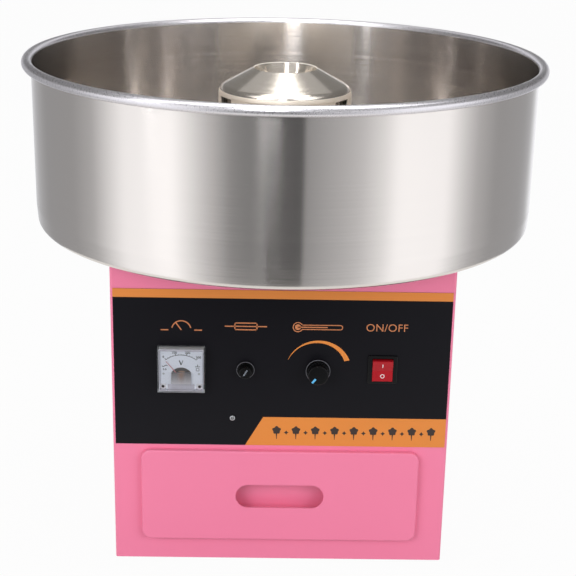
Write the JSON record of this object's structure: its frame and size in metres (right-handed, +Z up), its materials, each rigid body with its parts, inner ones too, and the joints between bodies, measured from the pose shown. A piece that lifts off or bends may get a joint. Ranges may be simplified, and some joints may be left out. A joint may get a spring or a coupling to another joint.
{
  "type": "cotton candy machine",
  "caption": "Table-top cotton candy machine: wide lift-off steel bowl round a heated spinner head, on a square cabinet with a control panel and a drawer.",
  "frame": {"origin": "on the table under the spinner's axis, which is the centre of the machine's footprint box", "axes": "+Z up along the spinner's axis, control panel and drawer facing -Y, +X to the right of someone facing the panel"},
  "size_m": [0.52, 0.52, 0.4914],
  "materials": {
    "pink_enamel": "gloss powder coat",
    "stainless": "polished spun stainless steel",
    "zinc_steel": "zinc-plated steel",
    "spun_aluminium": "spun, satin",
    "cast_aluminium": "as cast",
    "overlay_film": "printed film, satin",
    "black_plastic": "moulded, satin gloss",
    "red_plastic": "moulded, gloss",
    "clear_acrylic": "clear moulded",
    "dial_white": "matt white enamel",
    "needle_red": "painted",
    "rubber": "moulded, matt",
    "copper": "enamelled copper wire",
    "brass": "turned",
    "electrical_steel": "laminated, oiled",
    "carbon": "pressed carbon",
    "insulating_resin": "moulded resin",
    "board_green": "printed circuit board",
    "nichrome": "oxidised heating wire",
    "ceramic": "glazed ceramic",
    "wire_insulation": "PVC",
    "fuse_glass": "clear glass"
  },
  "bodies": {
    "cabinet": {"cabinet_shell": "pink_enamel", "top_plate": "zinc_steel", "base_plate": "zinc_steel", "shelf_plate": "zinc_steel", "back_panel": "pink_enamel", "control_overlay": "overlay_film", "cabinet_screws": "zinc_steel", "panel_fasteners": "zinc_steel", "feet": "rubber", "foot_bolts": "zinc_steel", "drawer_runners": "zinc_steel", "bowl_rests": "rubber", "bowl_pins": "zinc_steel", "neck_guard": "spun_aluminium", "hanger_posts": "zinc_steel", "isolators": "rubber", "motor_plate": "zinc_steel", "upper_end_bell": "cast_aluminium", "lower_end_bell": "cast_aluminium", "stator_core": "electrical_steel", "stator_windings": "copper", "motor_bearings": "zinc_steel", "motor_bolts": "zinc_steel", "brush_holder": "insulating_resin", "brushes": "carbon", "meter_case": "black_plastic", "meter_cover": "clear_acrylic", "meter_dial": "dial_white", "meter_movement": "copper", "fuse_body": "black_plastic", "pot_body": "zinc_steel", "switch_body": "black_plastic", "power_inlet": "black_plastic", "dimmer_board": "board_green", "terminal_block": "black_plastic", "wiring": "wire_insulation"},
    "drawer": {"drawer_front": "pink_enamel", "drawer_tray": "pink_enamel", "pull_cup": "pink_enamel"},
    "lift_off_bowl": {"bowl": "stainless"},
    "spinner": {"spinner_cover": "stainless", "floss_band": "stainless", "spinner_base": "cast_aluminium", "heater_element": "nichrome", "heater_leads": "wire_insulation", "heater_insulators": "ceramic", "sugar_cup": "stainless", "spinner_screws": "zinc_steel", "motor_shaft": "zinc_steel", "rotor": "electrical_steel", "ring_insulator": "insulating_resin", "slip_rings": "brass", "cooling_fan": "black_plastic"},
    "needle": {"meter_needle": "needle_red"},
    "fuse_holder": {"fuse_carrier": "brass", "fuse_link": "fuse_glass"},
    "fuse_grip": {"fuse_cap": "black_plastic"},
    "knob": {"control_knob": "black_plastic", "pot_shaft": "zinc_steel"},
    "rocker": {"switch_rocker": "red_plastic"}
  },
  "joints": [
    {"name": "spinner_spin", "type": "hinge", "parent": "cabinet", "child": "spinner", "pos_m": [0, 0, 0.3], "axis": [0, 0, 1], "continuous": true},
    {"name": "drawer_slide", "type": "slide", "parent": "cabinet", "child": "drawer", "axis": [0, -1, 0], "range_m": [0, 0.17]},
    {"name": "bowl_lift", "type": "slide", "parent": "cabinet", "child": "lift_off_bowl", "axis": [0, 0, 1], "range_m": [0, 0.25]},
    {"name": "needle_swing", "type": "hinge", "parent": "cabinet", "child": "needle", "pos_m": [-0.0957, -0.163, 0.2084], "axis": [0, 1, 0], "range_deg": [0, 80], "stiffness_Nm_per_rad": 0.00002, "springref_deg": -28.65},
    {"name": "fuse_pull", "type": "slide", "parent": "cabinet", "child": "fuse_holder", "axis": [0, -1, 0], "range_m": [0, 0.035]},
    {"name": "fuse_twist", "type": "hinge", "parent": "fuse_holder", "child": "fuse_grip", "pos_m": [-0.0347, -0.164, 0.216], "axis": [0, -1, 0], "range_deg": [0, 60]},
    {"name": "knob_turn", "type": "hinge", "parent": "cabinet", "child": "knob", "pos_m": [0.0345, -0.165, 0.216], "axis": [0, 1, 0], "range_deg": [0, 270]},
    {"name": "rocker_tip", "type": "hinge", "parent": "cabinet", "child": "rocker", "pos_m": [0.0961, -0.157, 0.218], "axis": [-1, 0, 0], "range_deg": [0, 16]}
  ]
}
